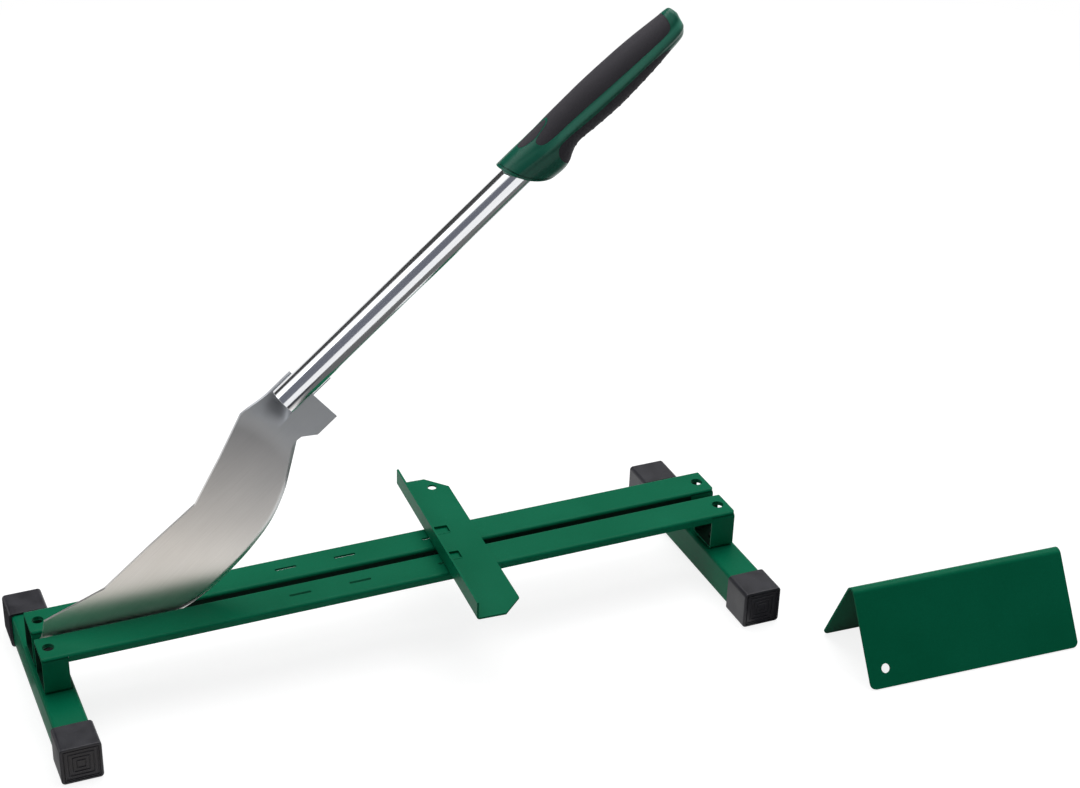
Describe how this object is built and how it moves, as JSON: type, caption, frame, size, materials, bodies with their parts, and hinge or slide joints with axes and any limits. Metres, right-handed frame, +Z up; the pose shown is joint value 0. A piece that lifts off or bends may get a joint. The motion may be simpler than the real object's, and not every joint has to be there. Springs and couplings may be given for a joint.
{
  "type": "laminate cutter",
  "caption": "Hand lever cutter for laminate boards: a pivoted blade closes between two rails on a low stand, with a hooked-in stop and a loose bent-sheet board rest.",
  "frame": {"origin": "on the floor, under the middle of the box round the stand, its lever and the loose board rest", "axes": "+X along the rails from the pivot to the far end, +Y from the front of the stand to its back, +Z up"},
  "size_m": [0.7216, 0.2946, 0.4459],
  "materials": {
    "powder_coat": "satin green powder coat with a fine orange peel",
    "rubber": "matt black rubber",
    "fastener": "zinc plated",
    "spacer": "plain nylon",
    "blade_steel": "ground sheet steel with a fine grain",
    "lever_steel": "bright plated tube with fine draw lines",
    "grip_shell": "dark green moulded plastic",
    "grip_pad": "soft black panel with a fine texture"
  },
  "bodies": {
    "stand": {"cross_tube_left": "powder_coat", "cross_tube_right": "powder_coat", "end_cap_left_front": "rubber", "end_cap_left_back": "rubber", "end_cap_right_front": "rubber", "end_cap_right_back": "rubber", "rail_front": "powder_coat", "rail_back": "powder_coat", "riser_left_front": "powder_coat", "riser_left_back": "powder_coat", "riser_right_front": "powder_coat", "riser_right_back": "powder_coat", "riser_screw_left_front": "fastener", "riser_screw_left_back": "fastener", "riser_screw_right_front": "fastener", "riser_screw_right_back": "fastener", "riser_nut_left_front": "fastener", "riser_nut_left_back": "fastener", "riser_nut_right_front": "fastener", "riser_nut_right_back": "fastener", "pivot_bolt": "fastener", "pivot_lock_nut": "fastener", "pivot_washer_front": "fastener", "pivot_washer_back": "fastener", "pivot_spacer_front": "spacer", "pivot_spacer_back": "spacer", "board_rest": "powder_coat"},
    "lever": {"blade": "blade_steel", "lever_tube": "lever_steel", "grip_core": "grip_shell", "grip_pad_top": "grip_pad", "grip_pad_ribbed": "grip_pad", "grip_pad_back": "grip_pad"},
    "stop": {"stop": "powder_coat"}
  },
  "joints": [
    {"name": "blade_pivot", "type": "hinge", "parent": "stand", "child": "lever", "pos_m": [-0.34527, 0.05233, 0.047], "axis": [0, 1, 0], "range_deg": [-15, 30]},
    {"name": "stop_lift", "type": "slide", "parent": "stand", "child": "stop", "axis": [0, 0, 1], "range_m": [0, 0.015]}
  ]
}
